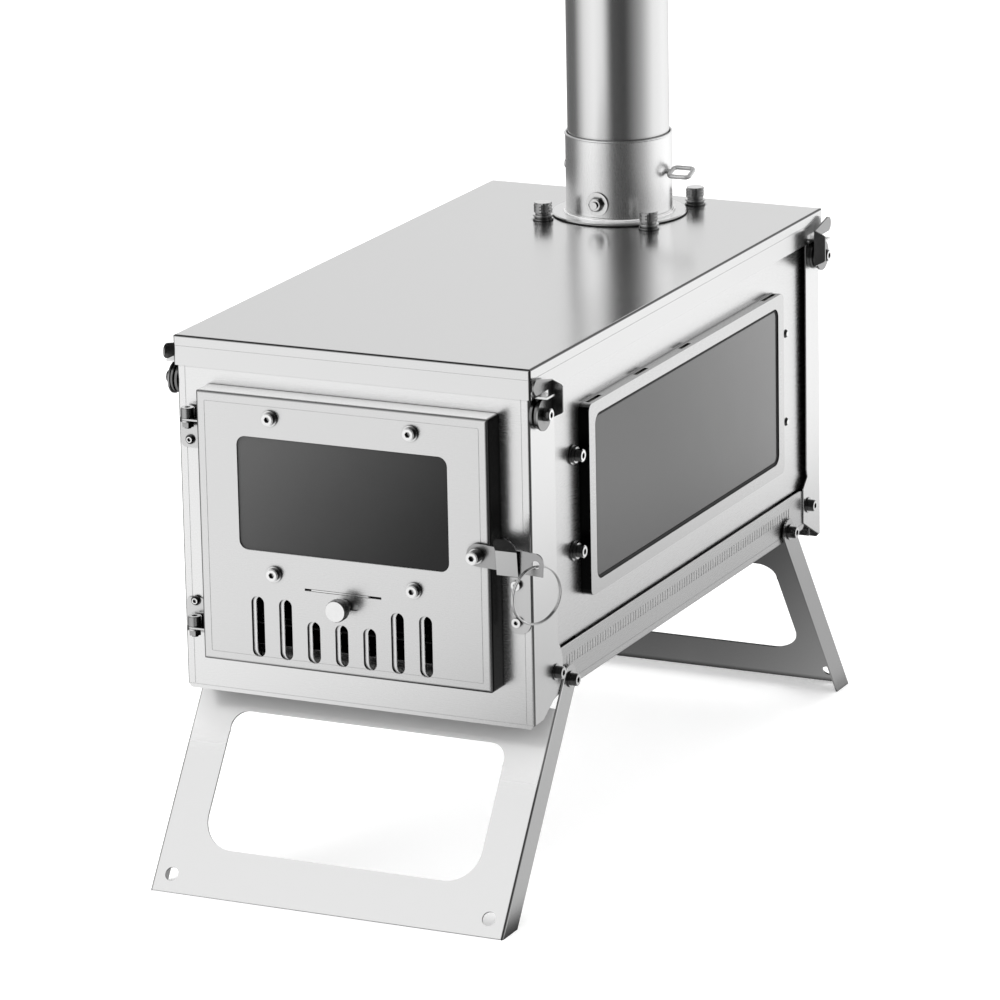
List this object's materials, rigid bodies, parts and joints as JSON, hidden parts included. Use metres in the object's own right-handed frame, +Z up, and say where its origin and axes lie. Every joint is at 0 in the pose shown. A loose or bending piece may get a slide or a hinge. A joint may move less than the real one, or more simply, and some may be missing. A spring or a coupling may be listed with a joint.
{
  "type": "tent wood stove",
  "caption": "Long sheet-metal wood stove on two splayed folding legs, with a glazed hinged door, side windows, corner latches and a damped flue.",
  "frame": {"origin": "on the ground, midway between the feet and between the lid's long sides", "axes": "+Z up, -Y towards the door, +X towards the latch side of the door (the right as seen from the front)"},
  "size_m": [0.2428, 0.4968, 0.6481],
  "materials": {
    "satin_sheet": "satin",
    "polished_sheet": "polished",
    "smoked_glass": "gloss",
    "fibre_gasket": "matte",
    "fastener_steel": "machined",
    "knurled_steel": "knurled",
    "inner_steel": "mill",
    "pipe_steel": "brushed"
  },
  "bodies": {
    "firebox": {"base_tray": "satin_sheet", "front_panel": "satin_sheet", "rear_panel": "satin_sheet", "side_panel_left": "satin_sheet", "side_panel_right": "satin_sheet", "side_frame_left": "satin_sheet", "side_frame_right": "satin_sheet", "side_glass_left": "smoked_glass", "side_glass_right": "smoked_glass", "side_gasket_left": "fibre_gasket", "side_gasket_right": "fibre_gasket", "side_frame_screws": "fastener_steel", "side_rivets": "fastener_steel", "fire_grate": "inner_steel", "panel_pivot_screws": "fastener_steel", "leg_pivot_screws": "fastener_steel", "hinge_brackets": "satin_sheet", "hinge_bracket_screws": "fastener_steel", "hinge_bolts": "fastener_steel", "latch_keeper": "satin_sheet", "keeper_screws": "fastener_steel", "corner_latch_screws": "fastener_steel", "corner_latch_washers": "fastener_steel"},
    "lid": {"lid": "polished_sheet", "flue_collar": "polished_sheet", "flue_mount_plate": "inner_steel", "thumb_nuts": "knurled_steel", "thumb_washers": "fastener_steel", "collar_screw": "fastener_steel"},
    "flue_pipe": {"flue_pipe": "pipe_steel"},
    "damper": {"damper_plate": "inner_steel", "damper_handle": "fastener_steel"},
    "door": {"door_shell": "satin_sheet", "door_glass": "smoked_glass", "door_glass_clamp": "inner_steel", "door_screws": "fastener_steel", "door_hinge_ears": "satin_sheet", "slider_guides": "inner_steel", "latch_pivot_screw": "fastener_steel"},
    "air_slider": {"air_slider": "satin_sheet", "air_knob": "knurled_steel"},
    "latch_arm": {"latch_arm": "satin_sheet"},
    "latch_ring": {"latch_ring": "fastener_steel"},
    "leg_front": {"leg_front": "satin_sheet"},
    "leg_rear": {"leg_rear": "satin_sheet"},
    "corner_latch_front_left": {"corner_latch_front_left": "polished_sheet"},
    "corner_latch_front_right": {"corner_latch_front_right": "polished_sheet"},
    "corner_latch_rear_left": {"corner_latch_rear_left": "polished_sheet"},
    "corner_latch_rear_right": {"corner_latch_rear_right": "polished_sheet"}
  },
  "joints": [
    {"name": "door_hinge", "type": "hinge", "parent": "firebox", "child": "door", "pos_m": [-0.098, -0.2042, 0.2032], "axis": [0, 0, -1], "range_deg": [0, 135]},
    {"name": "latch_arm_pivot", "type": "hinge", "parent": "door", "child": "latch_arm", "pos_m": [0.0816, -0.2148, 0.2047], "axis": [0, -1, 0], "range_deg": [0, 75]},
    {"name": "latch_ring_swing", "type": "hinge", "parent": "latch_arm", "child": "latch_ring", "pos_m": [0.1162, -0.2148, 0.20289], "axis": [0, -1, 0], "range_deg": [-10, 60]},
    {"name": "air_slide", "type": "slide", "parent": "door", "child": "air_slider", "axis": [1, 0, 0], "range_m": [-0.003, 0.006]},
    {"name": "lid_lift", "type": "slide", "parent": "firebox", "child": "lid", "axis": [0, 0, 1], "range_m": [0, 0.09]},
    {"name": "pipe_lift", "type": "slide", "parent": "lid", "child": "flue_pipe", "axis": [0, 0, 1], "range_m": [0, 0.05]},
    {"name": "damper_turn", "type": "hinge", "parent": "lid", "child": "damper", "pos_m": [0, 0.1565, 0.3332], "axis": [1, 0, 0], "range_deg": [-20, 70]},
    {"name": "leg_front_fold", "type": "hinge", "parent": "firebox", "child": "leg_front", "pos_m": [0, -0.1557, 0.1209], "axis": [1, 0, 0], "range_deg": [0, 124.5]},
    {"name": "leg_rear_fold", "type": "hinge", "parent": "firebox", "child": "leg_rear", "pos_m": [0, 0.1557, 0.1209], "axis": [-1, 0, 0], "range_deg": [0, 124.5]},
    {"name": "latch_front_left", "type": "hinge", "parent": "firebox", "child": "corner_latch_front_left", "pos_m": [-0.1115, -0.1915, 0.2799], "axis": [-1, 0, 0], "range_deg": [0, 75]},
    {"name": "latch_rear_left", "type": "hinge", "parent": "firebox", "child": "corner_latch_rear_left", "pos_m": [-0.1115, 0.1995, 0.2799], "axis": [1, 0, 0], "range_deg": [0, 75]},
    {"name": "latch_front_right", "type": "hinge", "parent": "firebox", "child": "corner_latch_front_right", "pos_m": [0.1115, -0.1915, 0.2799], "axis": [-1, 0, 0], "range_deg": [0, 75]},
    {"name": "latch_rear_right", "type": "hinge", "parent": "firebox", "child": "corner_latch_rear_right", "pos_m": [0.1115, 0.1995, 0.2799], "axis": [1, 0, 0], "range_deg": [0, 75]}
  ]
}
